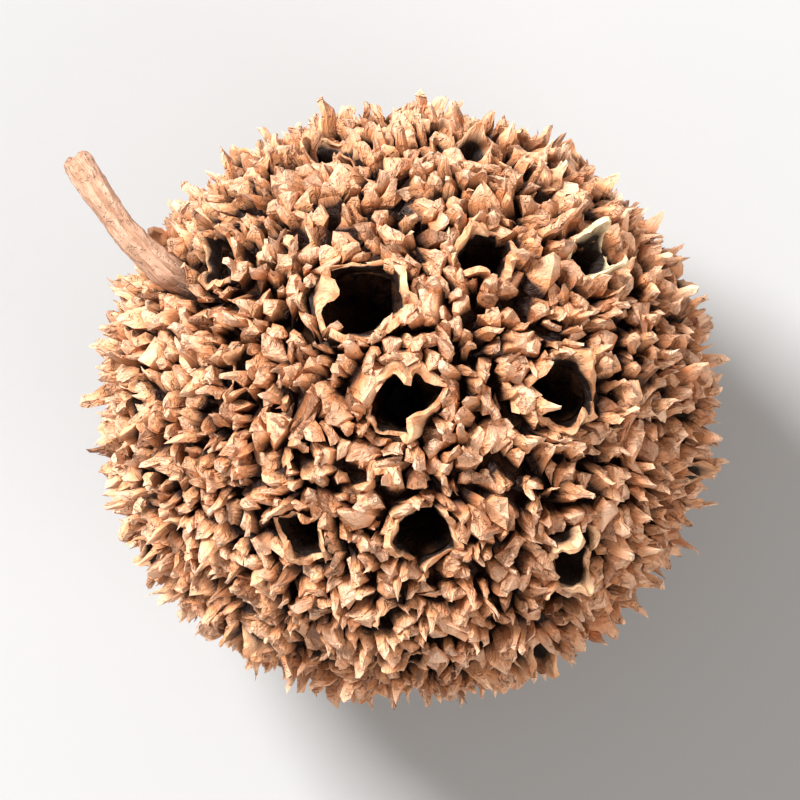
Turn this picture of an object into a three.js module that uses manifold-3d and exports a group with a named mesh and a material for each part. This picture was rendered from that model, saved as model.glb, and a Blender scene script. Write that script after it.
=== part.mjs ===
// A dried sweetgum seed ball with the stub of its stalk.
// The ball is one woody piece: small capsules grown together, each with a two-valved mouth that has
// opened over a deep empty pocket, and pointed scales that fill all the ground between the mouths.
// Millimetres, +Z up. The origin is on the worn tip of the lowest scale, where the ball rests.
import * as THREE from "three";
import { ConvexHull } from "three/addons/math/ConvexHull.js";
import { mergeVertices } from "three/addons/utils/BufferGeometryUtils.js";
import Module from "manifold-3d";

const wasm = await Module();
wasm.setup();

// The ball, measured over the tips of its scales.
const ballWidth = 30.4; // along X
const ballDepth = 29.2; // along Y
const ballHeight = 28.8; // along Z, before the lowest tips are worn
const wornTips = 0.8; // height lost by the lowest scales, which leaves the flat spot
const reach = new THREE.Vector3(ballWidth, ballDepth, ballHeight).multiplyScalar(0.5);
const centreHeight = reach.z - wornTips;

// The scales. Heights are shares of the way from the centre to the outside of the ball.
const scaleSpacing = 2.0; // between neighbouring tips
const grooveShare = 0.87; // the bottom of the grooves between scales
const tipShare = [0.95, 1.0]; // the lowest and the highest tip
const tipLean = 0.28; // how far a tip leans sideways, at most, as a share of the spacing
const ringGap = 0.62; // from a lip's outer edge to the tips of the scales around it
const ringSpacing = 1.7; // between those tips
const ringSlack = 0.03; // how far inside a mouth's ring a tip may stand, as a share of its size
const ringCrowding = 0.6; // the closest two ring tips may stand, as a share of the spacing
const fillCrowding = 0.86; // the same for the tips between the rings
const fillSites = 9000; // places that are tried between the rings

// The capsules. Each mouth is a pointed oval with a raised lip, over a pocket that narrows inwards.
const mouthLength = [2.3, 3.1]; // of the free capsules
const mouthWidth = [1.2, 1.9];
const lipThickness = 0.42;
const lipPoint = 1.3; // thickness at the mouth's pointed ends, in lip thicknesses
const lipShare = 0.965; // height of the lip's edge
const lipRoot = 0.8; // the lip grows out of this height
const lipSpread = 1.08; // size of the lip's root against its edge
const lipSegments = 4; // along each of its two sides
const pocketDepth = 6.2; // from the lip's edge
const pocketEase = 1.05; // size of the pocket's top against the mouth
const pocketTaper = 0.42; // size of the pocket's floor against its top

// The free capsules start out evenly scattered under the upper ones, then push each other apart.
const freeCapsules = 25;
const freeBelow = 0.35; // the highest a free capsule starts, as a share of the ball's half height
const freeClearance = 0.35; // from the fixed ones at the start, in half ball widths
const pushSteps = 150;
const pushStrength = 0.0006;
const pushFalloff = 4; // the push is divided by the distance to this power

// The mouths that face up: [bearing from +X, tilt from +Z, turn of the slit, length, width].
const upperMouths = [
  [113, 24, 27, 4.0, 3.3],
  [62, 36, 73, 3.1, 2.5],
  [38, 54, 82, 2.6, 1.6],
  [150, 1, 140, 3.5, 3.1],
  [4, 33, 81, 3.5, 3.0],
  [-83, 28, 73, 3.1, 2.4],
  [-127, 36, 7, 2.8, 2.0],
  [-42, 50, 12, 3.3, 2.4],
  [142, 54, 78, 2.9, 1.7],
  [74, 66, 1, 2.8, 1.4],
  [182, 66, 170, 2.4, 1.2],
  [170, 36, 178, 2.3, 0.9],
  [-16, 79, 60, 2.6, 1.4],
  [-93, 63, 13, 2.5, 1.3],
];

// The stalk: a bent round stub, its root set in the ball's side.
const stalkDiameter = 1.45;
const stalkSides = 10;
const stalkSteps = 8;
const rootGap = 0.3; // clearance round the root, in its socket
const rootPoint = new THREE.Vector3(-9.2, 5.0, 4.9); // this and the route are from the ball's centre
const stalkRoute = [
  new THREE.Vector3(-11.5, 6.5, 6.2),
  new THREE.Vector3(-13.5, 8.7, 7.1),
  new THREE.Vector3(-15.4, 11.6, 7.6),
];

// A repeatable source of numbers from 0 to 1, so that the ball grows the same way every time.
function seededNumbers(seed) {
  let state = seed;
  return () => {
    state = (state * 16807) % 2147483647;
    return state / 2147483647;
  };
}

const between = ([low, high], share) => low + (high - low) * share;

// The direction at a bearing from +X and a tilt from +Z, in degrees.
function directionOf(bearing, tilt) {
  const around = THREE.MathUtils.degToRad(bearing);
  const down = THREE.MathUtils.degToRad(tilt);
  return new THREE.Vector3(
    Math.sin(down) * Math.cos(around),
    Math.sin(down) * Math.sin(around),
    Math.cos(down),
  );
}

// A point at a share of the way from the centre to the outside of the ball.
function onBall(direction, share) {
  return direction.clone().multiply(reach).multiplyScalar(share);
}

// Evenly scattered directions along a golden-angle spiral.
function spiral(count) {
  const goldenAngle = Math.PI * (3 - Math.sqrt(5));
  return Array.from({ length: count }, (_, i) => {
    const height = 1 - (2 * i + 1) / count;
    const across = Math.sqrt(1 - height * height);
    return new THREE.Vector3(
      across * Math.cos(goldenAngle * i),
      across * Math.sin(goldenAngle * i),
      height,
    );
  });
}

// The upper capsules are set. The free ones push away from all the others, from the stalk and from
// the spot that the ball rests on.
function growCapsules() {
  const random = seededNumbers(71);
  const upper = upperMouths.map(([bearing, tilt, turn, length, width]) => ({
    axis: directionOf(bearing, tilt),
    turn: THREE.MathUtils.degToRad(turn),
    length,
    width,
  }));
  const stalkAxis = rootPoint.clone().divide(reach).normalize();
  const restAxis = new THREE.Vector3(0, 0, -1);
  const fixed = [...upper.map((capsule) => capsule.axis), stalkAxis, restAxis];
  const places = spiral(2 * (freeCapsules + fixed.length))
    .filter((axis) => axis.z < freeBelow)
    .filter((axis) => fixed.every((other) => other.distanceTo(axis) > freeClearance))
    .sort((a, b) => a.z - b.z);
  const free = Array.from({ length: freeCapsules }, (_, i) =>
    places[Math.floor(((i + 0.5) * places.length) / freeCapsules)]);
  for (let step = 0; step < pushSteps; step++) {
    for (const axis of free) {
      const push = new THREE.Vector3();
      for (const other of [...fixed, ...free]) {
        if (other === axis) continue;
        const away = axis.clone().sub(other);
        push.addScaledVector(away, pushStrength / Math.pow(away.length(), pushFalloff));
      }
      axis.add(push).normalize();
    }
  }
  const lower = free.map((axis) => ({
    axis,
    turn: Math.PI * random(),
    length: between(mouthLength, random()),
    width: between(mouthWidth, random()),
  }));
  return [...upper, ...lower];
}

// The capsule's own frame: X along its slit, Z out of the ball.
function capsuleFrame({ axis, turn }) {
  const east = new THREE.Vector3(0, 0, 1).cross(axis).normalize();
  const slit = east.applyAxisAngle(axis, turn);
  return new THREE.Matrix4().makeBasis(slit, axis.clone().cross(slit), axis);
}

// A geometry as a solid, with its shared vertices merged.
function solidOf(geometry) {
  const bare = geometry.clone();
  bare.deleteAttribute("normal");
  bare.deleteAttribute("uv");
  const { index, attributes } = mergeVertices(bare, 1e-4);
  return new wasm.Manifold(new wasm.Mesh({
    numProp: 3,
    vertProperties: new Float32Array(attributes.position.array),
    triVerts: new Uint32Array(index.array),
  }));
}

function geometryOf(solid) {
  const { vertProperties, triVerts } = solid.getMesh();
  const geometry = new THREE.BufferGeometry();
  geometry.setAttribute("position", new THREE.BufferAttribute(vertProperties, 3));
  geometry.setIndex(new THREE.BufferAttribute(triVerts, 1));
  const flat = geometry.toNonIndexed();
  flat.computeVertexNormals();
  return flat;
}

// The directions of all the tips: a ring around each mouth, then whatever fits between the rings.
function scaleDirections(capsules) {
  const tips = [new THREE.Vector3(0, 0, -1)];
  const meanReach = (reach.x + reach.y + reach.z) / 3;
  const clear = (direction, gap) => tips.every((tip) => tip.distanceTo(direction) * meanReach > gap);
  const mouths = capsules.map((capsule) => ({
    frame: capsuleFrame(capsule),
    inverse: capsuleFrame(capsule).invert(),
    halfLength: capsule.length / 2 + lipThickness + ringGap,
    halfWidth: capsule.width / 2 + lipThickness + ringGap,
  }));
  const outsideMouths = (direction) => mouths.every(({ inverse, halfLength, halfWidth }) => {
    const local = direction.clone().applyMatrix4(inverse).multiplyScalar(meanReach);
    const across = Math.hypot(local.x / halfLength, local.y / halfWidth);
    return local.z < 0 || across > 1 - ringSlack;
  });
  for (const { frame, halfLength, halfWidth } of mouths) {
    const count = Math.round((Math.PI * (halfLength + halfWidth)) / ringSpacing);
    for (let i = 0; i < count; i++) {
      const angle = (2 * Math.PI * (i + 0.5)) / count;
      const tip = new THREE.Vector3(
        (halfLength * Math.cos(angle)) / meanReach,
        (halfWidth * Math.sin(angle)) / meanReach,
        1,
      ).applyMatrix4(frame).normalize();
      if (outsideMouths(tip) && clear(tip, ringCrowding * scaleSpacing)) tips.push(tip);
    }
  }
  for (const tip of spiral(fillSites)) {
    if (outsideMouths(tip) && clear(tip, fillCrowding * scaleSpacing)) tips.push(tip);
  }
  return tips;
}

// A ball of pointed scales that share their grooves. The hull of the tip directions joins each tip
// to its neighbours; every face of that hull gives one low corner where three scales meet.
function ballOfScales(capsules) {
  const random = seededNumbers(5);
  const sites = [...scaleDirections(capsules), ...capsules.map((capsule) => capsule.axis)];
  const firstMouth = sites.length - capsules.length;
  const siteNumber = new Map(sites.map((site, i) => [site, i]));
  const hull = new ConvexHull().setFromPoints(sites);
  const points = sites.map((site, i) => {
    if (i >= firstMouth) return onBall(site, grooveShare);
    const lean = new THREE.Vector3(random(), random(), random()).subScalar(0.5);
    const leaning = site.clone().addScaledVector(lean, (tipLean * scaleSpacing) / reach.z);
    return onBall(i === 0 ? site : leaning.normalize(), i === 0 ? 1 : between(tipShare, random()));
  });
  const cornerNumber = new Map();
  for (const face of hull.faces) {
    cornerNumber.set(face, points.length);
    points.push(onBall(face.normal.clone().normalize(), grooveShare));
  }
  const triangles = [];
  for (const face of hull.faces) {
    for (let i = 0; i < 3; i++) {
      const edge = face.getEdge(i);
      triangles.push(
        siteNumber.get(edge.head().point),
        cornerNumber.get(face),
        cornerNumber.get(edge.twin.face),
      );
    }
  }
  const geometry = new THREE.BufferGeometry().setFromPoints(points);
  geometry.setIndex(triangles);
  return solidOf(geometry);
}

// A plug with a pointed oval outline, from low to high along Z, tapered so that its floor is smaller
// or larger than its top.
function ovalPlug(length, width, low, high, floorShare) {
  const outline = new THREE.Shape();
  outline.moveTo(-length / 2, 0);
  outline.quadraticCurveTo(0, -width, length / 2, 0);
  outline.quadraticCurveTo(0, width, -length / 2, 0);
  const plug = new THREE.ExtrudeGeometry(outline, {
    depth: high - low,
    bevelEnabled: false,
    curveSegments: lipSegments,
  });
  const { position } = plug.attributes;
  for (let i = 0; i < position.count; i++) {
    const size = position.getZ(i) < (high - low) / 2 ? floorShare : 1;
    position.setXY(i, position.getX(i) * size, position.getY(i) * size);
  }
  return plug.translate(0, 0, low);
}

const reachAlong = (axis) => axis.clone().multiply(reach).length();

function capsuleLip(capsule) {
  const full = reachAlong(capsule.axis);
  return solidOf(
    ovalPlug(
      capsule.length + 2 * lipPoint * lipThickness,
      capsule.width + 2 * lipThickness,
      full * lipRoot,
      full * lipShare,
      lipSpread,
    ).applyMatrix4(capsuleFrame(capsule)),
  );
}

function capsulePocket(capsule) {
  const full = reachAlong(capsule.axis);
  return solidOf(
    ovalPlug(
      capsule.length * pocketEase,
      capsule.width * pocketEase,
      full * lipShare - pocketDepth,
      full + 1,
      pocketTaper,
    ).applyMatrix4(capsuleFrame(capsule)),
  );
}

// The stalk as a bent tube. More radius and a deeper root make the socket that it sits in.
function stalkTube(extra) {
  const section = new THREE.Shape();
  section.absarc(0, 0, stalkDiameter / 2 + extra, 0, 2 * Math.PI);
  const deeper = rootPoint.clone().sub(stalkRoute[0]).normalize().multiplyScalar(extra);
  const route = new THREE.CatmullRomCurve3([rootPoint.clone().add(deeper), ...stalkRoute]);
  return new THREE.ExtrudeGeometry(section, {
    extrudePath: route,
    steps: stalkSteps,
    curveSegments: stalkSides / 2,
    bevelEnabled: false,
  });
}

function seedBall() {
  const capsules = growCapsules();
  const lips = wasm.Manifold.union(capsules.map(capsuleLip));
  const pockets = wasm.Manifold.union(capsules.map(capsulePocket));
  const belowRest = solidOf(
    new THREE.BoxGeometry(ballWidth, ballDepth, ballHeight).translate(
      0,
      0,
      -centreHeight - ballHeight / 2,
    ),
  );
  const ball = ballOfScales(capsules)
    .add(lips)
    .subtract(pockets)
    .subtract(solidOf(stalkTube(rootGap)))
    .subtract(belowRest);
  return geometryOf(ball);
}

const scaleBrown = new THREE.MeshStandardMaterial({
  color: new THREE.Color(0.56, 0.36, 0.23),
  roughness: 0.85,
  metalness: 0,
});
const stalkBrown = new THREE.MeshStandardMaterial({
  color: new THREE.Color(0.62, 0.44, 0.31),
  roughness: 0.8,
  metalness: 0,
});

const ball = new THREE.Mesh(seedBall(), scaleBrown);
ball.name = "seed_ball";
const stalk = new THREE.Mesh(stalkTube(0), stalkBrown);
stalk.name = "stalk";

const sweetgum = new THREE.Group();
sweetgum.add(ball, stalk);
sweetgum.position.z = centreHeight;

export default sweetgum;
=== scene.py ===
# A dried sweetgum seed ball with the stub of its stalk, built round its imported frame. Metres, +Z up.
import math
import random
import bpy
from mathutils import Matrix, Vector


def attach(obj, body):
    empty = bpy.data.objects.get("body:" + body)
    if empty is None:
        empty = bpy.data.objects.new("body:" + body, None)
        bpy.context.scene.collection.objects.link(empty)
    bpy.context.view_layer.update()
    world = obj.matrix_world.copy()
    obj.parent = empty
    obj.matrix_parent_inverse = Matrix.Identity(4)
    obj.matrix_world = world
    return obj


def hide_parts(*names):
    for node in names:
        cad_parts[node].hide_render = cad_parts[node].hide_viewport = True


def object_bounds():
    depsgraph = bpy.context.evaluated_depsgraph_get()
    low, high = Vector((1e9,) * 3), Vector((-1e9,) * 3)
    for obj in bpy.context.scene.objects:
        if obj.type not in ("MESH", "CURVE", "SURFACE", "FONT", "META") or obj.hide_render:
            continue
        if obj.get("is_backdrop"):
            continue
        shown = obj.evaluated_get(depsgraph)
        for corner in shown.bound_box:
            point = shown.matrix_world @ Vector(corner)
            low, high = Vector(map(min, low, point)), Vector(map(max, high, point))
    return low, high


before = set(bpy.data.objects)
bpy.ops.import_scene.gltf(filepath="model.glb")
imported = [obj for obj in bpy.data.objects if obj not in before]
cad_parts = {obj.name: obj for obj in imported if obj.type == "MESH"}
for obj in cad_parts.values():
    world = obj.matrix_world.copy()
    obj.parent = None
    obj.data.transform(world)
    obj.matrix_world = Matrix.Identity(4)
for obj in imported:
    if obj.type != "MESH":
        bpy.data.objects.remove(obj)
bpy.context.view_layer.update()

from types import SimpleNamespace

import bmesh
import bpy
import numpy as np
from mathutils import Matrix, Quaternion, Vector
from mathutils.kdtree import KDTree


# ---- The ground wood ----------------------------------------------------------------------------
# The fruit head is some forty small seed capsules grown together round one middle. Between their
# mouths the joined walls make a hard ground, rough and cracked, with a deep pocket under each
# mouth where the seeds lay. Its near-black colour is painted shade, for the bottoms of the cracks.
# Everything else on the ball grows out of this wood.
mm = 0.001
centre = Vector((0, 0, 13.6)) * mm
reach = Vector((15.2, 14.6, 14.4)) * mm  # half the ball, measured over the tips of its scales
mean_reach = sum(reach) / 3
ground_share = 0.845  # the height of the ground, as a share of the way out to the tips
lip_share = 0.956  # the height of a mouth's edge
pocket_depth = 6.2 * mm
pocket_taper = 0.42
pocket_margin = (0.252 * mm, 0.21 * mm)  # how far a pocket passes its mouth, along and across
pocket_above = 1 * mm  # how far its cutter stands out past the mouth
stalk_root = Vector((-9.2, 5.0, 4.9)) * mm  # from the ball's centre
ground_lumps = (1.1 * mm, 0.9 * mm)  # how broad the lumps are, and how far they stand out
sway = (3.0 * mm, 1.2 * mm)  # the whole ball grew a little out of true, and its parts with it
ground_crease = math.radians(40)  # flatter edges than this are shaded smooth

# The capsules below the upper ones start out evenly scattered, then push each other apart.
free_capsules = 25
free_length = (2.3, 3.1)
free_width = (1.2, 1.9)
free_below = 0.35  # the highest one starts, as a share of the ball's half height
free_clearance = 0.35  # from the fixed ones at the start, in half ball widths
push_steps = 150
push_strength = 0.0006
push_falloff = 4

# The mouths that face up: bearing from +X, tilt from +Z, turn of the slit, length, width (mm).
upper_mouths = [
    (113, 24, 27, 4.0, 3.3),
    (62, 36, 73, 3.1, 2.5),
    (38, 54, 82, 2.6, 1.6),
    (150, 1, 140, 3.5, 3.1),
    (4, 33, 81, 3.5, 3.0),
    (-83, 28, 73, 3.1, 2.4),
    (-127, 36, 7, 2.8, 2.0),
    (-42, 50, 12, 3.3, 2.4),
    (142, 54, 78, 2.9, 1.7),
    (74, 66, 1, 2.8, 1.4),
    (182, 66, 170, 2.4, 1.2),
    (170, 36, 178, 2.3, 0.9),
    (-16, 79, 60, 2.6, 1.4),
    (-93, 63, 13, 2.5, 1.3),
]


def between(limits, share):
    return limits[0] + (limits[1] - limits[0]) * share


def on_ball(direction, share):
    """A point at a share of the way from the centre to the outside of the ball."""
    return centre + direction * reach * share


def spiral(count):
    """Evenly scattered directions along a golden-angle spiral."""
    golden_angle = math.pi * (3 - math.sqrt(5))
    directions = []
    for i in range(count):
        height = 1 - (2 * i + 1) / count
        across = math.sqrt(1 - height * height)
        angle = golden_angle * i
        directions.append(Vector((across * math.cos(angle), across * math.sin(angle), height)))
    return directions


def seeded_numbers(seed):
    """A repeatable run of numbers from 0 to 1, the same as the frame's own."""
    state = seed
    while True:
        state = state * 16807 % 2147483647
        yield state / 2147483647


def capsule(axis, turn, length, width):
    """A capsule's place: its frame has X along the slit and Z out of the ball."""
    east = Vector((0, 0, 1)).cross(axis).normalized()
    slit = Quaternion(axis, turn) @ east
    turned = Matrix((slit, axis.cross(slit), axis)).transposed()
    return SimpleNamespace(axis=axis, frame=turned, length=length * mm, width=width * mm)


def grow_capsules():
    """The upper mouths are set; the others push away from all the rest, the stalk and the rest spot."""
    numbers = seeded_numbers(71)
    grown = []
    for bearing, tilt, turn, length, width in upper_mouths:
        around, down = math.radians(bearing), math.radians(tilt)
        across = math.sin(down)
        axis = Vector((across * math.cos(around), across * math.sin(around), math.cos(down)))
        grown.append(capsule(axis, math.radians(turn), length, width))
    kept_clear = [Vector(r / q for r, q in zip(stalk_root, reach)).normalized(), Vector((0, 0, -1))]
    fixed = [one.axis for one in grown] + kept_clear
    places = [
        axis
        for axis in spiral(2 * (free_capsules + len(fixed)))
        if axis.z < free_below and all((other - axis).length > free_clearance for other in fixed)
    ]
    places.sort(key=lambda axis: axis.z)
    free = [places[int((i + 0.5) * len(places) / free_capsules)] for i in range(free_capsules)]
    for step in range(push_steps):
        for axis in free:
            push = Vector()
            for other in fixed + free:
                if other is not axis:
                    away = axis - other
                    push += away * (push_strength / away.length**push_falloff)
            axis += push
            axis.normalize()
    for axis in free:
        turn = math.pi * next(numbers)
        length = between(free_length, next(numbers))
        grown.append(capsule(axis, turn, length, between(free_width, next(numbers))))
    return grown


capsules = grow_capsules()


def reach_along(axis):
    return (axis * reach).length


def start_fresh():
    """Object mode with nothing selected, so that an operator acts on the new piece only."""
    if bpy.context.object and bpy.context.object.mode != "OBJECT":
        bpy.ops.object.mode_set(mode="OBJECT")
    bpy.ops.object.select_all(action="DESELECT")


def named(name):
    """Names the piece that has just been added."""
    piece = bpy.context.object
    piece.name = piece.data.name = name
    return piece


def pick_faces(piece, wanted):
    """In edit mode, selects the faces whose centre and normal pass the test, and no others."""
    bpy.ops.mesh.select_mode(type="FACE")
    bpy.ops.mesh.select_all(action="DESELECT")
    edited = bmesh.from_edit_mesh(piece.data)
    for face in edited.faces:
        face.select_set(wanted(face.calc_center_median(), face.normal))
    edited.select_flush_mode()
    bmesh.update_edit_mesh(piece.data)


def pick_points(piece, wanted):
    """In edit mode, selects the vertices whose place passes the test, and no others."""
    bpy.ops.mesh.select_mode(type="VERT")
    bpy.ops.mesh.select_all(action="DESELECT")
    edited = bmesh.from_edit_mesh(piece.data)
    for vertex in edited.verts:
        vertex.select_set(wanted(vertex.co))
    edited.select_flush_mode()
    bmesh.update_edit_mesh(piece.data)


def pointed_oval(name, half_length, half_width, steps):
    """A flat face whose outline is two bows that meet in points on X."""
    start_fresh()
    bpy.ops.curve.primitive_bezier_curve_add(location=(0, 0, 0))
    outline = bpy.context.object.data
    outline.dimensions = "2D"
    outline.fill_mode = "NONE"
    bow = outline.splines[0]
    bow.use_cyclic_u = True
    bow.resolution_u = steps
    for point, side in zip(bow.bezier_points, (-1, 1)):
        point.handle_left_type = point.handle_right_type = "FREE"
        point.co = (side * half_length, 0, 0)
        point.handle_left = (side * half_length / 3, side * half_width * 4 / 3, 0)
        point.handle_right = (side * half_length / 3, -side * half_width * 4 / 3, 0)
    bpy.ops.object.convert(target="MESH")
    piece = named(name)
    bpy.ops.object.mode_set(mode="EDIT")
    bpy.ops.mesh.select_all(action="SELECT")
    bpy.ops.mesh.remove_doubles(threshold=0.001 * mm)
    bpy.ops.mesh.edge_face_add()
    return piece


def draw_up(rise, size, at=(0, 0)):
    """Extrudes the selected faces along Z, then sizes them round a centre."""
    bpy.ops.mesh.extrude_region_move(TRANSFORM_OT_translate={"value": (0, 0, rise)})
    bpy.ops.transform.resize(value=(size, size, 1), center_override=(*at, 0))


def outward_normals():
    bpy.ops.mesh.select_all(action="SELECT")
    bpy.ops.mesh.normals_make_consistent(inside=False)


def copy_of(shape, place):
    """A copy with a mesh of its own, its place in the mesh and its object at the origin."""
    copy = bpy.data.objects.new(shape.name, shape.data.copy())
    copy.data.transform(place)
    bpy.context.collection.objects.link(copy)
    return copy


def join_as(name, copies):
    start_fresh()
    for copy in copies:
        copy.select_set(True)
    bpy.context.view_layer.objects.active = copies[0]
    bpy.ops.object.join()
    return named(name)


def take_up(piece):
    """Makes the piece the only one selected, and the active one."""
    start_fresh()
    piece.select_set(True)
    bpy.context.view_layer.objects.active = piece


def apply_all(piece):
    take_up(piece)
    for modifier in list(piece.modifiers):
        bpy.ops.object.modifier_apply(modifier=modifier.name)


def roughen(piece, name, grain, strength):
    """Moves the surface in and out by a lumpy noise whose lumps are `grain` across."""
    noise = bpy.data.textures.new(name, "CLOUDS")
    noise.noise_scale = grain
    lumps = piece.modifiers.new(name, "DISPLACE")
    lumps.texture = noise
    lumps.texture_coords = "LOCAL"
    lumps.strength = strength
    lumps.mid_level = 0.5


def warp(piece, name, grain, strength):
    """Shifts the surface sideways as well, so that neighbours bend together."""
    roughen(piece, name, grain, strength)
    piece.modifiers[name].texture.cloud_type = "COLOR"
    piece.modifiers[name].direction = "RGB_TO_XYZ"


# The pocket cutter: one plug under each mouth, narrowing inwards.
plug = pointed_oval("pocket_plug", 1, 1, 8)
draw_up(1, 1)
pick_faces(plug, lambda middle, normal: middle.z < 0.5 and abs(normal.z) > 0.5)
bpy.ops.transform.resize(value=(pocket_taper, pocket_taper, 1), center_override=(0, 0, 0))
outward_normals()
start_fresh()
plugs = []
for one in capsules:
    floor_height = reach_along(one.axis) * lip_share - pocket_depth
    half_length, half_width = one.length / 2 + pocket_margin[0], one.width / 2 + pocket_margin[1]
    size = Matrix.Diagonal((half_length, half_width, pocket_depth + pocket_above, 1))
    lift = Matrix.Translation(centre + one.axis * floor_height)
    plugs.append(copy_of(plug, lift @ one.frame.to_4x4() @ size))
bpy.data.objects.remove(plug)
pockets = join_as("pockets", plugs)

start_fresh()
bpy.ops.mesh.primitive_ico_sphere_add(subdivisions=6, radius=1, location=centre)
ground = named("ground_wood")
bpy.ops.transform.resize(value=tuple(reach * ground_share))
bpy.ops.object.transform_apply(location=True, rotation=True, scale=True)
roughen(ground, "Ground lumps", *ground_lumps)
hollow = ground.modifiers.new("Pockets", "BOOLEAN")
hollow.operation = "DIFFERENCE"
hollow.solver = "EXACT"
hollow.object = pockets
warp(ground, "Ground sway", *sway)
apply_all(ground)
bpy.data.objects.remove(pockets)
take_up(ground)
bpy.ops.object.shade_smooth_by_angle(angle=ground_crease)


# Every wood on the ball shares one dry, stringy grain. It is a shader group, so that each material
# sets its own fineness. It reads the place where the piece grew, so the grain follows the piece.
def add_node(tree, kind, settings=None, **sockets):
    """Adds a node with its settings, and the values of its sockets by name."""
    made = tree.nodes.new(kind)
    for name, value in (settings or {}).items():
        setattr(made, name, value)
    for name, value in sockets.items():
        made.inputs[name.replace("_", " ")].default_value = value
    return made


def mix_colour(tree, factor, first, second, mode="MIX"):
    """A mix of two colours; each of the three is a value or an output socket."""
    mixed = add_node(tree, "ShaderNodeMix", {"data_type": "RGBA", "blend_type": mode})
    for socket, value in ((0, factor), (6, first), (7, second)):
        if isinstance(value, bpy.types.NodeSocket):
            tree.links.new(value, mixed.inputs[socket])
        else:
            mixed.inputs[socket].default_value = value
    return mixed.outputs[2]


def stretch(tree, value, low, high, to_low=0.0, to_high=1.0):
    """Spreads the part of a value from low to high over a new range."""
    spread = add_node(
        tree,
        "ShaderNodeMapRange",
        {"clamp": True},
        From_Min=low,
        From_Max=high,
        To_Min=to_low,
        To_Max=to_high,
    )
    tree.links.new(value, spread.inputs["Value"])
    return spread.outputs["Result"]


def new_group(name, inputs, outputs):
    """A shader group with named number and vector sockets."""
    group = bpy.data.node_groups.new(name, "ShaderNodeTree")
    for label, kind in inputs:
        group.interface.new_socket(label, in_out="INPUT", socket_type=kind)
    for label, kind in outputs:
        group.interface.new_socket(label, in_out="OUTPUT", socket_type=kind)
    return group, group.nodes.new("NodeGroupInput"), group.nodes.new("NodeGroupOutput")


def build_grain():
    group, given, result = new_group(
        "Dry grain",
        [("Vector", "NodeSocketVector"), ("Fineness", "NodeSocketFloat")],
        [("Fibres", "NodeSocketFloat"), ("Pits", "NodeSocketFloat"), ("Relief", "NodeSocketFloat")],
    )
    along = add_node(group, "ShaderNodeMapping", Scale=(1, 1, 0.16))
    group.links.new(given.outputs["Vector"], along.inputs["Vector"])
    fibres = add_node(group, "ShaderNodeTexNoise", Detail=4, Roughness=0.62, Distortion=0.6)
    group.links.new(along.outputs["Vector"], fibres.inputs["Vector"])
    group.links.new(given.outputs["Fineness"], fibres.inputs["Scale"])
    fibre_mask = stretch(group, fibres.outputs["Fac"], 0.36, 0.66)
    pits = add_node(group, "ShaderNodeTexNoise", Detail=3, Roughness=0.7)
    group.links.new(given.outputs["Vector"], pits.inputs["Vector"])
    group.links.new(given.outputs["Fineness"], pits.inputs["Scale"])
    pit_mask = stretch(group, pits.outputs["Fac"], 0.3, 0.44, 1, 0)
    relief = add_node(group, "ShaderNodeMath", {"operation": "SUBTRACT"})
    group.links.new(fibre_mask, relief.inputs[0])
    group.links.new(pit_mask, relief.inputs[1])
    group.links.new(fibre_mask, result.inputs["Fibres"])
    group.links.new(pit_mask, result.inputs["Pits"])
    group.links.new(relief.outputs[0], result.inputs["Relief"])
    return group


dry_grain = build_grain()


def use_grain(tree, vector, fineness):
    grain = add_node(tree, "ShaderNodeGroup", {"node_tree": dry_grain}, Fineness=fineness)
    tree.links.new(vector, grain.inputs["Vector"])
    return grain


def new_material(name, roughness, shine=0.5):
    material = bpy.data.materials.new(name)
    material.use_nodes = True
    shader = material.node_tree.nodes["Principled BSDF"]
    shader.inputs["Roughness"].default_value = roughness
    shader.inputs["Specular IOR Level"].default_value = shine
    return material, material.node_tree, shader


def raise_surface(tree, shader, height, distance):
    bump = add_node(tree, "ShaderNodeBump", Strength=1.0, Distance=distance)
    tree.links.new(height, bump.inputs["Height"])
    tree.links.new(bump.outputs["Normal"], shader.inputs["Normal"])


ground_fineness = 1800
# Painted shade: the ground is coloured near black over its grain, as the shade at the bottoms of the
# cracks.
ground_shade_black = (0.003, 0.001, 0.0005, 1)
ground_shade_brown = (0.040, 0.014, 0.005, 1)
ground_material, tree, shader = new_material("Ground wood", 0.9, 0.1)
place = add_node(tree, "ShaderNodeTexCoord")
grain = use_grain(tree, place.outputs["Object"], ground_fineness)
tree.links.new(
    mix_colour(tree, grain.outputs["Fibres"], ground_shade_black, ground_shade_brown), shader.inputs["Base Color"]
)
raise_surface(tree, shader, grain.outputs["Relief"], 0.12 * mm)


def finish_wood(piece, material, node):
    """Gives the piece its finish, rides it on the one body and hides the plain node it stands for."""
    piece.data.materials.append(material)
    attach(piece, "root")
    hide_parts(node)


finish_wood(ground, ground_material, "seed_ball")


# ---- The capsule mouths -------------------------------------------------------------------------
# Each capsule is a smooth cup that has split across its top into two thin woody valves. The
# cups' rims are sunk among the scales; the valves stand up out of them like the two halves of a
# beak, pointed where they meet, torn and curled along their edges. The cups' insides and the
# valves' feet are coloured near black as painted shade in the pockets.
mouth_length = 2.7 * mm
mouth_width = 1.8 * mm
valve_tones = {2: 1.5, 7: 1.1}  # these mouths' valves are fresher than the rest, and paler
rim_depth = 1.25 * mm  # how far the cup's rim is sunk below the valves' usual edge
cup_depth = pocket_depth + 0.4 * mm
cup_margin = (0.45 * mm, 0.34 * mm)  # how far its wall passes the mouth, along and across
cup_foot = 0.6  # its size at its foot, against its rim
cup_neck = 2.6 * mm  # below this the cup narrows to its foot
cup_rim = (0.24 * mm, 0.06 * mm)  # width and height
cup_inside = [(-0.7, 1.0), (-1.0, 0.97), (-1.8, 0.8), (-1.4, 0.62)]  # drop (mm) and size
cup_wobble_from = 1.8 * mm  # below the valves' usual edge
cup_wobble = 0.08 * mm
valve_root = 1.1 * mm  # how deep a valve starts below the cup's rim
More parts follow.
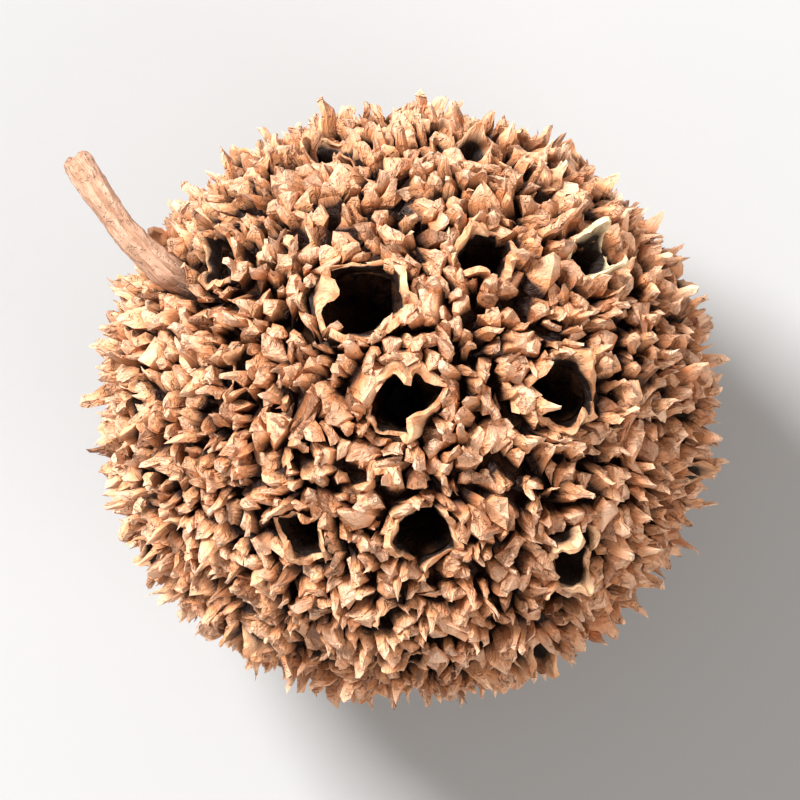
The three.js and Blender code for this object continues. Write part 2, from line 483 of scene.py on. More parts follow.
valve_steps = [(1.1, 0), (0.3, 0.2), (0.3, 0.3), (0.25, 0.3), (0.15, 0.2)]  # rise (mm), share of lean
valve_height = 1.0 * mm
valve_columns = 13
valve_margin = (0.15 * mm, 0.1 * mm)  # how far its foot passes the mouth, along and across
valve_wobble_from = 0.1 * mm  # above the cup's rim
valve_wobble = 0.10 * mm
valve_wall = 0.19 * mm
grain_step = 5 * mm  # each cup's and valve's grain starts this much further on
mouth_crease = math.radians(38)
bends = (0.8 * mm, 0.55 * mm)  # small bends shared by all that stands on the ground


def keep(piece, name, kind, field, values):
    kept = piece.data.attributes.get(name) or piece.data.attributes.new(name, kind, "POINT")
    kept.data.foreach_set(field, values.astype(np.float32).ravel())


def places_of(piece):
    places = np.empty(len(piece.data.vertices) * 3, np.float32)
    piece.data.vertices.foreach_get("co", places)
    return places.reshape(-1, 3)


def keep_rise(piece, low, high):
    """Keeps how far up the piece each point grew, from 0 at its foot to 1 at its tip."""
    keep(piece, "rise", "FLOAT", "value", np.clip((places_of(piece)[:, 2] - low) / (high - low), 0, 1))


def keep_grain(piece, offset, tone):
    """Keeps where each point grew, for the grain to follow, and the tone of the whole piece."""
    keep(piece, "grown", "FLOAT_VECTOR", "vector", places_of(piece) + np.array(offset, np.float32))
    keep(piece, "tone", "FLOAT", "value", np.full(len(piece.data.vertices), tone))


def model_cup():
    """A closed cup: up the outside of the wall, over its rim and down into the pocket."""
    half_length, half_width = mouth_length / 2 + cup_margin[0], mouth_width / 2 + cup_margin[1]
    piece = pointed_oval("cup", half_length, half_width, 8)
    bpy.ops.transform.resize(value=(cup_foot, cup_foot, 1), center_override=(0, 0, 0))
    draw_up(cup_depth - cup_neck, 1 / cup_foot)
    draw_up(cup_neck - rim_depth, 1)
    bpy.ops.mesh.inset(thickness=cup_rim[0], depth=cup_rim[1])
    for drop, size in cup_inside:
        draw_up(drop * mm, size)
    pick_points(piece, lambda co: co.z > cup_depth - cup_wobble_from)
    bpy.ops.transform.vertex_random(offset=cup_wobble, seed=3)
    outward_normals()
    start_fresh()
    keep_rise(piece, 0, cup_depth - rim_depth)
    return piece


# For each valve: how far it leans out, the height of its torn edge over the cup's rim from one end
# to the other, and where its edge curls: at which x, how far (x, y, z) and how widely (mm).
valve_shapes = [
    (0.15, (0.1, 0.2, 1.0, 1.5, 1.6, 1.3, 0.3, 0.1, 0.3, 0.2), (-0.2, (0, 0.1, 0.1), 0.5)),
    (0.05, (0.2, 0.9, 1.3, 1.5, 1.4, 1.0, 0.2, 0.1, 0.1, 0.3), (-0.5, (0.15, -0.5, 0.1), 0.6)),
    (0.20, (0.8, 1.4, 0.5, 0.1, 0.2, 0.3, 1.4, 1.7, 1.2, 0.3), (0.6, (0.1, 0.2, 0.1), 0.4)),
    (0.15, (0.1, 0.1, 0.6, 1.3, 0.4, 0.1, 0.1, 0.9, 1.5, 0.8), (-0.4, (0, -0.4, 0.1), 0.4)),
    (0.05, (0.3, 0.2, 0.3, 0.8, 1.4, 1.6, 1.5, 0.9, 0.2, 0.2), (0.5, (0.1, -0.65, -0.1), 0.5)),
    (0.25, (0.7, 1.2, 0.3, 0.1, 0.5, 0.9, 0.1, 0.1, 0.3, 1.2), (-0.8, (0, 0.2, 0.2), 0.4)),
    (0.30, (0.2, 0.3, 0.6, 1.3, 2.2, 2.3, 1.4, 0.4, 0.1, 0.2), (-0.1, (0.1, -0.4, 0.1), 0.6)),
    (0.15, (0.2, 0.1, 0.3, 0.7, 1.1, 1.7, 2.4, 1.8, 0.6, 0.2), (0.4, (-0.2, 0.3, 0.1), 0.5)),
]


def model_valve(number, lean, edge, curl):
    """One bow of the mouth's outline drawn up into a thin wall, then torn along its edge."""
    start_fresh()
    bpy.ops.curve.primitive_bezier_curve_add(location=(0, 0, 0))
    bow = bpy.context.object.data.splines[0]
    bow.resolution_u = valve_columns
    half_length = mouth_length / 2 + valve_margin[0]
    half_width = mouth_width * 2 / 3 + valve_margin[1]
    for point, side in zip(bow.bezier_points, (-1, 1)):
        point.handle_left_type = point.handle_right_type = "FREE"
        point.co = (side * half_length, 0, 0)
        point.handle_left = point.handle_right = (side * mouth_length / 6, half_width, 0)
    bpy.ops.object.convert(target="MESH")
    piece = named(f"valve_{number}")
    bpy.ops.object.mode_set(mode="EDIT")
    bpy.ops.mesh.select_all(action="SELECT")
    rim = cup_depth - rim_depth
    bpy.ops.transform.translate(value=(0, 0, rim - valve_root))
    for step, share in valve_steps:
        bpy.ops.mesh.extrude_region_move(
            TRANSFORM_OT_translate={"value": (0, lean * share * mm, step * mm)}
        )
    bpy.ops.object.mode_set(mode="OBJECT")
    keep_rise(piece, rim - valve_root, rim + valve_height)
    bpy.ops.object.mode_set(mode="EDIT")
    stations = np.linspace(-half_length, half_length, len(edge))
    columns = {round(v.co.x / mm, 3) for v in bmesh.from_edit_mesh(piece.data).verts}
    for column in sorted(columns):
        pick_points(piece, lambda co: co.z > rim and abs(co.x / mm - column) < 0.001)
        torn = np.interp(column * mm, stations, edge)
        bpy.ops.transform.resize(value=(1, 1, torn), center_override=(0, 0, rim))
    x, push, width = curl
    column = min(columns, key=lambda place: abs(place - x))
    points = [v.co.copy() for v in bmesh.from_edit_mesh(piece.data).verts]
    highest = max((co for co in points if abs(co.x / mm - column) < 0.001), key=lambda co: co.z)
    pick_points(piece, lambda co: (co - highest).length < 0.001 * mm)
    bpy.ops.transform.translate(
        value=Vector(push) * mm,
        use_proportional_edit=True,
        proportional_edit_falloff="SMOOTH",
        proportional_size=width * mm,
    )
    pick_points(piece, lambda co: co.z > rim + valve_wobble_from)
    bpy.ops.transform.vertex_random(offset=valve_wobble, seed=number + 5)
    bpy.ops.object.mode_set(mode="OBJECT")
    curled = piece.modifiers.new("Curled", "SUBSURF")
    curled.levels = curled.render_levels = 1
    curled.boundary_smooth = "PRESERVE_CORNERS"
    wall = piece.modifiers.new("Wall", "SOLIDIFY")
    wall.thickness = valve_wall
    wall.offset = 0
    apply_all(piece)
    return piece


chance = random.Random(11)
cup_model = model_cup()
valve_models = [model_valve(i, *shape) for i, shape in enumerate(valve_shapes)]

# Which two valve shapes each of the upper mouths has; the others draw theirs.
upper_valves = [(5, 1), (3, 4), (6, 7), (4, 1), (1, 2), (0, 5), (3, 4), (7, 2), (0, 5), (3, 0), (5, 2)]
cups, valves = [], []
for i, one in enumerate(capsules):
    size = Matrix.Diagonal((one.length / mouth_length, one.width / mouth_width, 1, 1))
    floor_height = reach_along(one.axis) * lip_share - cup_depth
    place = Matrix.Translation(centre + one.axis * floor_height) @ one.frame.to_4x4() @ size
    cup = copy_of(cup_model, Matrix())
    keep_grain(cup, (i * grain_step, 0, 0), chance.random())
    cup.data.transform(place @ Matrix.Rotation(math.pi * chance.randrange(2), 4, "Z"))
    cups.append(cup)
    drawn = i >= len(upper_valves)
    pair = (chance.randrange(6), chance.randrange(6)) if drawn else upper_valves[i]
    for side, kind in enumerate(pair):
        valve = copy_of(valve_models[kind], Matrix())
        tone = valve_tones.get(i, chance.random())
        keep_grain(valve, (i * grain_step, side * grain_step, 0), tone)
        valve.data.transform(place @ Matrix.Rotation(math.pi * side, 4, "Z"))
        valves.append(valve)
for model in [cup_model, *valve_models]:
    bpy.data.objects.remove(model)

mouths = {
    "capsule_cups": join_as("capsule_cups", cups),
    "capsule_valves": join_as("capsule_valves", valves),
}
for piece in mouths.values():
    warp(piece, piece.name + " sway", *sway)
    warp(piece, piece.name + " bends", *bends)
    apply_all(piece)
    bpy.ops.object.shade_smooth_by_angle(angle=mouth_crease)


def read_attribute(tree, name, output):
    return add_node(tree, "ShaderNodeAttribute", {"attribute_name": name}).outputs[output]


mouth_fineness = 2600
lining_shade_black = (0.004, 0.002, 0.001, 1)
lining_shade_brown = (0.060, 0.025, 0.012, 1)
lining_material, tree, shader = new_material("Pocket lining", 0.5, 0.15)
grain = use_grain(tree, read_attribute(tree, "grown", "Vector"), mouth_fineness)
# Painted shade: the lining goes to near black further down the pocket, where it lies in shade.
depth = stretch(tree, read_attribute(tree, "rise", "Fac"), 0.55, 1.0)
lining = mix_colour(tree, grain.outputs["Fibres"], lining_shade_black, lining_shade_brown)
tree.links.new(mix_colour(tree, depth, lining_shade_black, lining), shader.inputs["Base Color"])
raise_surface(tree, shader, grain.outputs["Relief"], 0.04 * mm)

valve_fresh = (0.94, 0.76, 0.48, 1)
valve_pale = (0.90, 0.54, 0.31, 1)
valve_brown = (0.54, 0.21, 0.085, 1)
valve_foot_shade = (0.016, 0.007, 0.004, 1)
valve_material, tree, shader = new_material("Valve wood", 0.55, 0.35)
grain = use_grain(tree, read_attribute(tree, "grown", "Vector"), mouth_fineness)
wood = mix_colour(tree, grain.outputs["Fibres"], valve_brown, valve_pale)
fresh = stretch(tree, read_attribute(tree, "tone", "Fac"), 1.0, 1.5, 0, 0.85)
edges = mix_colour(tree, fresh, wood, valve_fresh)
# Painted shade: each valve is near black from its foot up to near its edge, where it stands down in the
# pocket's shade.
rise = stretch(tree, read_attribute(tree, "rise", "Fac"), 0.74, 0.96)
tree.links.new(mix_colour(tree, rise, valve_foot_shade, edges), shader.inputs["Base Color"])
raise_surface(tree, shader, grain.outputs["Relief"], 0.06 * mm)
finish_wood(mouths["capsule_cups"], lining_material, "seed_ball")
finish_wood(mouths["capsule_valves"], valve_material, "seed_ball")


# ---- The scales ---------------------------------------------------------------------------------
# Flakes and blunt teeth of wood crowd all the ground between the mouths, dried hard and wrinkled, so
# that only cracks show between them, black with their own shade and with painted shade at the scales'
# feet. No two are alike, so sixteen are modelled, and each one that grows is a copy of its own width,
# lean and height, roughened afterwards with all the rest.
scale_height = 2.2 * mm
usual_width = 1.3 * mm
scale_root_depth = 0.5 * mm
scale_steps = (0.30, 0.32, 0.24, 0.14)  # shares of the height
furrow_size = 0.72  # how far the furrows between the ridges are drawn in
scale_wobble = 0.12 * mm

# For each: ridges, width, depth, sizes at the four steps up, lean (x, y), slant of the top, how far
# its middle is raised and how ragged its edge is (mm). The low flakes come first, the tall ones last.
flake_shapes = [
    (3, 1.35, 1.00, (1.02, 1.00, 0.92, 0.62), (0.10, 0.00), 18, 0.14, 0.26),
    (3, 1.60, 0.80, (1.02, 1.02, 0.96, 0.70), (-0.05, 0.14), -26, 0.04, 0.32),
    (3, 1.30, 1.10, (1.00, 0.96, 0.84, 0.52), (0.18, -0.08), 12, 0.18, 0.24),
    (4, 1.80, 0.75, (1.04, 1.04, 1.00, 0.76), (0.00, 0.18), 30, 0.06, 0.34),
    (3, 1.25, 1.15, (1.00, 0.98, 0.90, 0.60), (-0.16, -0.05), -16, 0.12, 0.30),
    (3, 1.50, 0.85, (1.00, 0.96, 0.84, 0.50), (0.20, 0.10), 24, 0.18, 0.26),
    (3, 1.20, 0.95, (1.04, 1.02, 0.94, 0.66), (-0.20, 0.08), -34, 0.04, 0.28),
    (4, 1.75, 0.80, (1.00, 0.98, 0.92, 0.64), (0.08, -0.20), 16, 0.12, 0.34),
]
tooth_shapes = [
    (3, 1.20, 0.90, (0.98, 0.80, 0.50, 0.18), (0.14, 0.20), -12, 0.34, 0.08),
    (3, 1.30, 0.90, (1.02, 0.86, 0.60, 0.26), (0.04, 0.10), 26, 0.22, 0.14),
    (3, 1.10, 0.80, (0.98, 0.76, 0.46, 0.16), (-0.30, 0.04), -20, 0.36, 0.08),
    (3, 1.40, 0.85, (1.00, 0.84, 0.56, 0.24), (0.20, 0.14), 34, 0.24, 0.12),
    (3, 1.15, 0.75, (1.00, 0.82, 0.52, 0.20), (0.26, -0.12), 14, 0.38, 0.06),
    (4, 1.50, 0.70, (1.02, 0.90, 0.70, 0.34), (-0.10, 0.22), -30, 0.20, 0.18),
    (3, 1.05, 0.90, (0.96, 0.74, 0.44, 0.16), (0.06, -0.24), 10, 0.40, 0.06),
    (3, 1.30, 0.75, (1.00, 0.84, 0.60, 0.26), (-0.20, -0.14), 28, 0.26, 0.14),
]


def model_scale(number, ridges, width, depth, sizes, lean, slant, point, ragged):
    """A ridged stump drawn up in four steps, its top slanted, its edge torn into small points."""
    start_fresh()
    middle = (0, 0, -scale_root_depth / 2)
    bpy.ops.mesh.primitive_cylinder_add(
        vertices=2 * ridges, radius=width / 2 * mm, depth=scale_root_depth, location=middle
    )
    piece = named(f"scale_{number:02d}")
    bpy.ops.object.transform_apply(location=True)
    bpy.ops.object.mode_set(mode="EDIT")
    corners = sorted(bmesh.from_edit_mesh(piece.data).verts, key=lambda v: math.atan2(v.co.y, v.co.x))
    furrows = [v.co.copy() for i, v in enumerate(corners) if i // 2 % 2]
    pick_points(piece, lambda co: any((co - other).length < 0.001 * mm for other in furrows))
    bpy.ops.transform.resize(value=(furrow_size, furrow_size, 1), center_override=(0, 0, 0))
    bpy.ops.mesh.select_all(action="SELECT")
    bpy.ops.transform.resize(value=(1, depth / width, 1), center_override=(0, 0, 0))
    pick_faces(piece, lambda middle, normal: normal.z > 0.5)
    body = scale_height - max(point, ragged) * mm
    at = Vector((0, 0))
    size = 1.0
    for share, wanted in zip(scale_steps, sizes):
        bpy.ops.mesh.extrude_region_move(
            TRANSFORM_OT_translate={"value": (lean[0] * mm * share, lean[1] * mm * share, body * share)}
        )
        at += Vector(lean) * mm * share
        bpy.ops.transform.resize(value=(wanted / size, wanted / size, 1), center_override=(*at, 0))
        size = wanted
    bpy.ops.transform.rotate(
        value=math.radians(slant), orient_axis="X", center_override=(*at, body)
    )
    top = [v.co.copy() for v in bmesh.from_edit_mesh(piece.data).verts if v.select]
    bpy.ops.mesh.poke(offset=point * mm)
    torn = random.Random(number + 20)
    for corner in top:
        pick_points(piece, lambda co: (co - corner).length < 0.001 * mm)
        bpy.ops.transform.translate(value=(0, 0, torn.uniform(-1, 1) * ragged * mm))
    bpy.ops.mesh.select_all(action="SELECT")
    bpy.ops.transform.vertex_random(offset=scale_wobble, seed=number + 1)
    outward_normals()
    start_fresh()
    keep_rise(piece, 0, scale_height)
    return piece


flake_models = [model_scale(i, *shape) for i, shape in enumerate(flake_shapes)]
tooth_models = [model_scale(i + len(flake_shapes), *shape) for i, shape in enumerate(tooth_shapes)]


ring_gap = 0.78 * mm  # from the mouth to the middle of the scales round it
ring_spacing = 0.80 * mm
ring_jitter = 0.2  # of the spacing, either way
ring_clearance = 0.85  # from the other mouths, as a share of the gap
ring_crowding = 0.62  # the least room between two ring scales, as a share of the spacing
ring_tips = (0.915, 0.97)  # how high the tips stand, as a share of the way out
ring_lean = (-0.012, 0.020)  # towards the mouth and away from it, as a share of the ball
ring_stray = 0.4  # of the usual stray lean
scatter_sites = 9000
scatter_gap = 0.64 * mm
scatter_clearance = 1.1  # from the mouths, as a share of the ring's gap
scatter_tips = (0.89, 0.976)
tall_from = 0.947  # scales taller than this are teeth, the others flakes
facing_spread = 0.35  # how far the scales stray from facing the nearest mouth
nearby_count = 4  # the neighbours that a scale's room is measured to
flake_crowding = (1.00, 1.40)  # a scale's width against the distance to its neighbours
tooth_crowding = (0.95, 1.35)
broad_share = 0.14  # of the flakes are broad ones
broad_size = 1.65
stray_lean = 0.045
stalk_clearance = 1.05 * mm  # from the middle of the stalk to the middle of a scale
scale_grain_step = (3 * mm, 1 * mm, 0)  # each scale's grain starts this much further on
scale_lumps = (0.40 * mm, 0.26 * mm)
scale_crease = math.radians(32)

outlines = [(one.frame.inverted(), one.length / 2, one.width / 2) for one in capsules]


def clear_of_mouths(direction, gap):
    """Whether a place on the ball is at least the gap away from the edge of every mouth."""
    for inverse, half_length, half_width in outlines:
        local = inverse @ direction * mean_reach
        if local.z > 0 and math.hypot(local.x / (half_length + gap), local.y / (half_width + gap)) < 1:
            return False
    return True


def scale_feet():
    """Where the scales stand: a ring round each mouth, then a crowded scatter over all the rest."""
    feet, facings = [], []
    taken = np.zeros((scatter_sites, 3))

    def plant(direction, facing, gap):
        apart = taken[: len(feet)] - direction
        if not feet or np.sqrt((apart**2).sum(1)).min() * mean_reach > gap:
            taken[len(feet)] = direction
            feet.append(direction)
            facings.append(facing)

    for one in capsules:
        half_length = one.length / 2 + ring_gap
        half_width = one.width / 2 + ring_gap
        count = round(math.pi * (half_length + half_width) / ring_spacing)
        start = chance.random()
        for i in range(count):
            angle = math.tau * (i + start + chance.uniform(-ring_jitter, ring_jitter)) / count
            local = Vector((half_length * math.cos(angle), half_width * math.sin(angle), mean_reach))
            foot = (one.frame @ local).normalized()
            out = one.frame @ Vector((math.cos(angle), math.sin(angle), 0))
            if clear_of_mouths(foot, ring_gap * ring_clearance):
                plant(foot, out, ring_spacing * ring_crowding)
    ringed = len(feet)
    sites = spiral(scatter_sites)
    chance.shuffle(sites)
    for direction in sites:
        if clear_of_mouths(direction, ring_gap * scatter_clearance):
            nearest = max(capsules, key=lambda one: one.axis.dot(direction))
            facing = (direction - nearest.axis).normalized()
            stray = Vector([chance.gauss(0, 1) for axis in range(3)]) * facing_spread
            plant(direction, facing + stray, scatter_gap)
    return feet, facings, ringed


# The stalk's route, from the ball's centre, is needed here so that no scale grows through it. It
# starts well inside the wood.
stalk_route = [
    Vector((-7.7, 4.1, 4.0)) * mm,
    stalk_root,
    Vector((-11.5, 6.5, 6.2)) * mm,
    Vector((-13.5, 8.7, 7.1)) * mm,
    Vector((-15.4, 11.6, 7.6)) * mm,
]


def beside_stalk(point):
    for a, b in zip(stalk_route, stalk_route[1:]):
        along = b - a
        share = max(0, min(1, (point - centre - a).dot(along) / along.length_squared))
        if (centre + a + along * share - point).length < stalk_clearance:
            return True
    return False


def grow_scale(model, foot, out, tip_height, width, lean, number):
    """A copy of the model that stands on the ground at foot, with its tip at its own height."""
    base = on_ball(foot, ground_share)
    tip = on_ball((foot + lean).normalized(), tip_height)
    up = tip - base
    if beside_stalk(tip) or beside_stalk(base + up * 0.5):
        return None
    side = up.cross(out).normalized()
    front = side.cross(up).normalized()
    turned = Matrix((side, -front, up.normalized())).transposed().to_4x4()
    size = Matrix.Diagonal((width[0], width[1], up.length / scale_height, 1))
    copy = copy_of(model, Matrix())
    keep_grain(copy, [number * step for step in scale_grain_step], chance.random())
    copy.data.transform(Matrix.Translation(base) @ turned @ size)
    return copy


feet, facings, ringed = scale_feet()
neighbours = KDTree(len(feet))
for number, foot in enumerate(feet):
    neighbours.insert(foot, number)
neighbours.balance()
groups = {"scales_round_mouths": [], "upper_scales": [], "lower_scales": [], "thin_spines": []}
for number, (foot, out) in enumerate(zip(feet, facings)):
    lean = Vector([chance.uniform(-1, 1) for axis in range(3)]) * stray_lean
    if number < ringed:
        lean = lean * ring_stray + out * chance.uniform(*ring_lean)
    nearby = neighbours.find_n(foot, nearby_count + 1)  # the scale itself is the nearest
    room = sum(distance for spot, other, distance in nearby) / nearby_count * mean_reach
    height = chance.uniform(*(ring_tips if number < ringed else scatter_tips))
    tall = height > tall_from
    model = chance.choice(tooth_models if tall else flake_models)
    crowding = tooth_crowding if tall else flake_crowding
    if not tall and chance.random() < broad_share:
        room *= broad_size
    width = [room / usual_width * chance.uniform(*crowding) for side in range(2)]
    grown = grow_scale(model, foot, out, height, width, lean, number)
    if grown:
        name = "upper_scales" if foot.z > 0 else "lower_scales"
        groups["scales_round_mouths" if number < ringed else name].append(grown)
for model in flake_models + tooth_models:
    bpy.data.objects.remove(model)


# Between the scales stand thin bent spines, what is left of the flowers' beaks. They are set in the
# cracks, as far as can be from the scales round them. For each: width, sizes and sideways bends at
# the four steps up, and how long its point is (mm).
spine_height = 2.6 * mm
spine_shapes = [
    (0.95, (0.95, 0.85, 0.62, 0.34), (0.06, 0.05, 0.12, 0.16), 0.30),
    (0.80, (0.95, 0.88, 0.66, 0.32), (-0.04, 0.08, 0.10, 0.10), 0.36),
    (1.05, (0.95, 0.80, 0.64, 0.42), (0.12, 0.08, -0.04, -0.12), 0.20),
    (0.88, (1.00, 0.84, 0.56, 0.28), (0.00, 0.10, 0.16, 0.20), 0.32),
]
spine_sites = 7000
spine_gap = 1.5 * mm
spine_tips = (0.93, 0.975)
spine_lean = 0.05
spine_widths = (0.8, 1.3)
spine_flatness = 0.6
spine_root = 0.4 * mm
from_scales = 0.36 * mm  # the least room from a spine to the scales and mouths


def model_spine(number, width, sizes, bends, point):
    """A flat strip drawn up to a point in four steps, each bent a little further over."""
    start_fresh()
    bpy.ops.mesh.primitive_cylinder_add(vertices=5, radius=width / 2 * mm, depth=spine_root)
    piece = named(f"spine_{number}")
    bpy.ops.object.mode_set(mode="EDIT")
    bpy.ops.mesh.select_all(action="SELECT")
    bpy.ops.transform.resize(value=(1, spine_flatness, 1), center_override=(0, 0, 0))
    pick_faces(piece, lambda middle, normal: normal.z > 0.5)
    step = (spine_height - point * mm) / 4
    at, size = 0.0, 1.0
    for wanted, bend in zip(sizes, bends):
        at += bend * mm
        bpy.ops.mesh.extrude_region_move(TRANSFORM_OT_translate={"value": (0, bend * mm, step)})
        bpy.ops.transform.resize(value=(wanted / size, wanted / size, 1), center_override=(0, at, 0))
        size = wanted
    bpy.ops.mesh.poke(offset=point * mm)
    outward_normals()
    start_fresh()
    keep_rise(piece, 0, spine_height)
    return piece


spine_models = [model_spine(i, *shape) for i, shape in enumerate(spine_shapes)]
sites = spiral(spine_sites)
chance.shuffle(sites)
spine_feet = []
for direction in sites:
    spot, other, apart = neighbours.find(direction)
    crowded = any((direction - planted).length * mean_reach < spine_gap for planted in spine_feet)
    if apart * mean_reach > from_scales and not crowded and clear_of_mouths(direction, from_scales):
        spine_feet.append(direction)
for number, foot in enumerate(spine_feet):
    lean = Vector([chance.uniform(-1, 1) for axis in range(3)]) * spine_lean
    out = Vector([chance.gauss(0, 1) for axis in range(3)])
    width = [chance.uniform(*spine_widths) for side in range(2)]
    height = chance.uniform(*spine_tips)
    model = chance.choice(spine_models)
    grown = grow_scale(model, foot, out, height, width, lean, number + len(feet))
    if grown:
        groups["thin_spines"].append(grown)
for model in spine_models:
    bpy.data.objects.remove(model)

scale_fineness = 2200
stain_fineness = 280
crack_shade_colour = (0.020, 0.005, 0.0015, 1)
scale_brown = (0.580, 0.195, 0.065, 1)
scale_tan = (0.880, 0.425, 0.205, 1)
scale_highlight_pale = (0.920, 0.650, 0.470, 1)
scale_dead = (0.220, 0.085, 0.035, 1)
weather_stain = (0.860, 0.770, 0.700, 1)
scale_material, tree, shader = new_material("Scale wood", 0.55, 0.35)
place = add_node(tree, "ShaderNodeTexCoord")
grain = use_grain(tree, read_attribute(tree, "grown", "Vector"), scale_fineness)
rise = read_attribute(tree, "rise", "Fac")
tone = read_attribute(tree, "tone", "Fac")
body = mix_colour(tree, tone, scale_brown, scale_tan)
streaked = mix_colour(tree, grain.outputs["Fibres"], body, scale_tan)
# Painted highlight: the scales turn paler towards their tips, where the light falls on them most.
highlit_tips = mix_colour(tree, stretch(tree, rise, 0.62, 1.0, 0, 0.75), streaked, scale_highlight_pale)
alive = mix_colour(tree, stretch(tree, tone, 0.02, 0.12, 0.2, 1), scale_dead, highlit_tips)
weather = add_node(tree, "ShaderNodeTexNoise", Scale=stain_fineness, Detail=2)
tree.links.new(place.outputs["Object"], weather.inputs["Vector"])
stains = stretch(tree, weather.outputs["Fac"], 0.44, 0.64)
stained = mix_colour(tree, stains, alive, weather_stain, "MULTIPLY")
# Painted shade: each scale darkens to near black towards its foot, as the shade deep in the cracks.
painted_crack_shade = mix_colour(tree, stretch(tree, rise, 0.30, 0.68), crack_shade_colour, stained)
tree.links.new(painted_crack_shade, shader.inputs["Base Color"])
raise_surface(tree, shader, grain.outputs["Relief"], 0.16 * mm)

for name, copies in groups.items():
    scales = join_as(name, copies)
    roughen(scales, name + " lumps", *scale_lumps)
    warp(scales, name + " sway", *sway)
    warp(scales, name + " bends", *bends)
    apply_all(scales)
    # Tips that would pass through the table are worn flat where the ball rests.
    bpy.ops.object.mode_set(mode="EDIT")
    pick_points(scales, lambda co: co.z < 0)
    bpy.ops.transform.resize(value=(1, 1, 0), center_override=(0, 0, 0))
    bpy.ops.object.mode_set(mode="OBJECT")
    bpy.ops.object.shade_smooth_by_angle(angle=scale_crease)
    finish_wood(scales, scale_material, "seed_ball")


# ---- The stalk ----------------------------------------------------------------------------------
# The ball hung on one stringy stalk, which has snapped off short. It widens where it leaves the
# wood, its fibres run along it, and its broken end is torn fibre round a sunken pith.
stalk_radius = 0.72 * mm
stalk_length = sum((b - a).length for a, b in zip(stalk_route, stalk_route[1:]))

# The stalk is modelled straight up Z in rings: height as a share of its length, radius as a share.
stalk_rings = [
    (0.18, 0.98), (0.30, 1.08), (0.38, 1.12), (0.44, 1.03), (0.50, 0.96), (0.57, 0.92),
    (0.64, 0.90), (0.71, 0.92), (0.78, 0.93), (0.84, 0.96), (0.89, 1.02), (0.93, 1.06), (0.97, 0.98),
]
root_share = 0.08  # the stalk's lowest part, deep in the wood
broken_from = 0.965  # the share of its length where the torn end starts
broken_rim = (0.22 * mm, 0.16 * mm)  # width and height
broken_inside = (0.20 * mm, -0.12 * mm)
pith_depth = 0.20 * mm
broken_wobble = 0.20 * mm
stalk_lumps = (1.4 * mm, 0.20 * mm)
stalk_strings = (0.35 * mm, 0.10 * mm)
stalk_crease = math.radians(50)

start_fresh()
root_depth = stalk_length * root_share
bpy.ops.mesh.primitive_cylinder_add(
    vertices=20, radius=stalk_radius, depth=root_depth, location=(0, 0, root_depth / 2)
)
stalk = named("snapped_stalk")
bpy.ops.object.transform_apply(location=True)
bpy.ops.object.mode_set(mode="EDIT")
pick_faces(stalk, lambda middle, normal: normal.z > 0.5)
height, radius = root_share, 1.0
for next_height, next_radius in stalk_rings:
    draw_up((next_height - height) * stalk_length, next_radius / radius)
    height, radius = next_height, next_radius
bpy.ops.mesh.inset(thickness=broken_rim[0], depth=broken_rim[1])
bpy.ops.mesh.inset(thickness=broken_inside[0], depth=broken_inside[1])
bpy.ops.mesh.poke(offset=-pith_depth)
pick_points(stalk, lambda co: co.z > stalk_length * broken_from)
bpy.ops.transform.vertex_random(offset=broken_wobble, seed=4)
outward_normals()
start_fresh()
finer = stalk.modifiers.new("Finer", "SUBSURF")
finer.levels = finer.render_levels = 2
apply_all(stalk)
keep_grain(stalk, (0, 0, 0), 0.5)
keep_rise(stalk, 0, stalk_length)

bpy.ops.curve.primitive_bezier_curve_add(location=(0, 0, 0))
route = bpy.context.object
spline = route.data.splines[0]
spline.bezier_points.add(len(stalk_route) - len(spline.bezier_points))
for point, place in zip(spline.bezier_points, stalk_route):
    point.co = centre + place
    point.handle_left_type = point.handle_right_type = "AUTO"
bend = stalk.modifiers.new("Bend", "CURVE")
bend.object = route
bend.deform_axis = "POS_Z"
roughen(stalk, "Stalk lumps", *stalk_lumps)
roughen(stalk, "Stalk strings", *stalk_strings)
apply_all(stalk)
bpy.data.objects.remove(route)
take_up(stalk)
bpy.ops.object.shade_smooth_by_angle(angle=stalk_crease)

bark_fineness = 3200
bark_pink = (0.82, 0.52, 0.37, 1)
bark_brown = (0.52, 0.27, 0.16, 1)
bark_foot_shade = (0.10, 0.035, 0.015, 1)
bark_break = (0.20, 0.085, 0.045, 1)
stalk_material, tree, shader = new_material("Stalk bark", 0.7)
grain = use_grain(tree, read_attribute(tree, "grown", "Vector"), bark_fineness)
bark = mix_colour(tree, grain.outputs["Fibres"], bark_brown, bark_pink)
rise = read_attribute(tree, "rise", "Fac")
broken = mix_colour(tree, grain.outputs["Fibres"], bark_break, bark_brown)
ended = mix_colour(tree, stretch(tree, rise, broken_from - 0.01, 0.985), bark, broken)
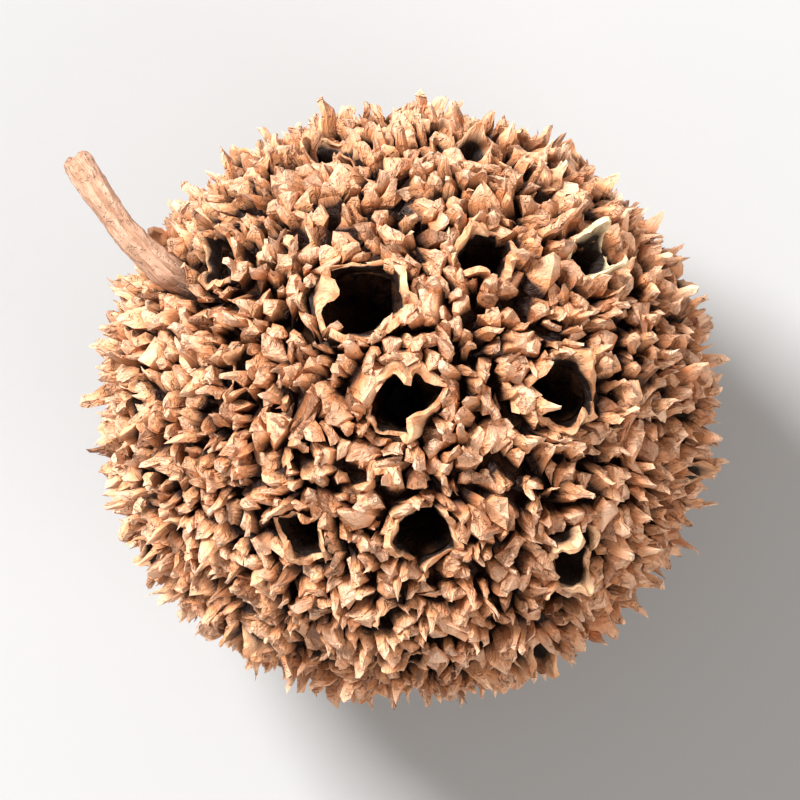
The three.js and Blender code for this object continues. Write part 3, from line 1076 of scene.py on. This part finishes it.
# Painted shade: the stalk's foot is darkened where it goes down into the cracks.
above_ground = stretch(tree, rise, 0.24, 0.40)
tree.links.new(mix_colour(tree, above_ground, bark_foot_shade, ended), shader.inputs["Base Color"])
raise_surface(tree, shader, grain.outputs["Relief"], 0.10 * mm)
finish_wood(stalk, stalk_material, "stalk")


# ---- The table, the light and the camera --------------------------------------------------------
# The ball lies on a plain pale table under a large soft light from the upper left, with a weak fill
# from the other side, and is seen from straight above.
table_size = 1.2
table_grey = (0.41, 0.415, 0.42, 1)
key_place, key_size, key_power, key_colour = (-0.50, 0.50, 0.70), 0.30, 21.5, (1.0, 0.99, 0.98)
fill_place, fill_size, fill_power, fill_colour = (0.60, -0.50, 0.60), 0.60, 4.0, (1.0, 0.94, 0.88)
room_colour, room_strength = (1.0, 0.96, 0.92, 1), 0.57
camera_height = 0.46
camera_lens = 430

start_fresh()
bpy.ops.mesh.primitive_plane_add(size=table_size, location=(0, 0, 0))
table_top = named("table_top")
table_material, tree, shader = new_material("Pale table", 0.55)
shader.inputs["Base Color"].default_value = table_grey
table_top.data.materials.append(table_material)
table_top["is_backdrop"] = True


def add_light(name, place, size, power, colour):
    bpy.ops.object.light_add(type="AREA", location=place)
    light = named(name)
    light.data.size = size
    light.data.energy = power
    light.data.color = colour
    light.rotation_euler = (centre - Vector(place)).to_track_quat("-Z", "Y").to_euler()


add_light("key_light", key_place, key_size, key_power, key_colour)
add_light("fill_light", fill_place, fill_size, fill_power, fill_colour)

world = bpy.data.worlds.new("Soft room")
world.use_nodes = True
world.node_tree.nodes["Background"].inputs["Color"].default_value = room_colour
world.node_tree.nodes["Background"].inputs["Strength"].default_value = room_strength
bpy.context.scene.world = world

low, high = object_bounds()
middle = (low + high) / 2
bpy.ops.object.camera_add(location=(middle.x, middle.y, camera_height), rotation=(0, 0, 0))
camera = named("camera")
camera.data.lens = camera_lens
camera.data.clip_start = 0.01
bpy.context.scene.camera = camera
bpy.context.scene.view_settings.view_transform = "Standard"
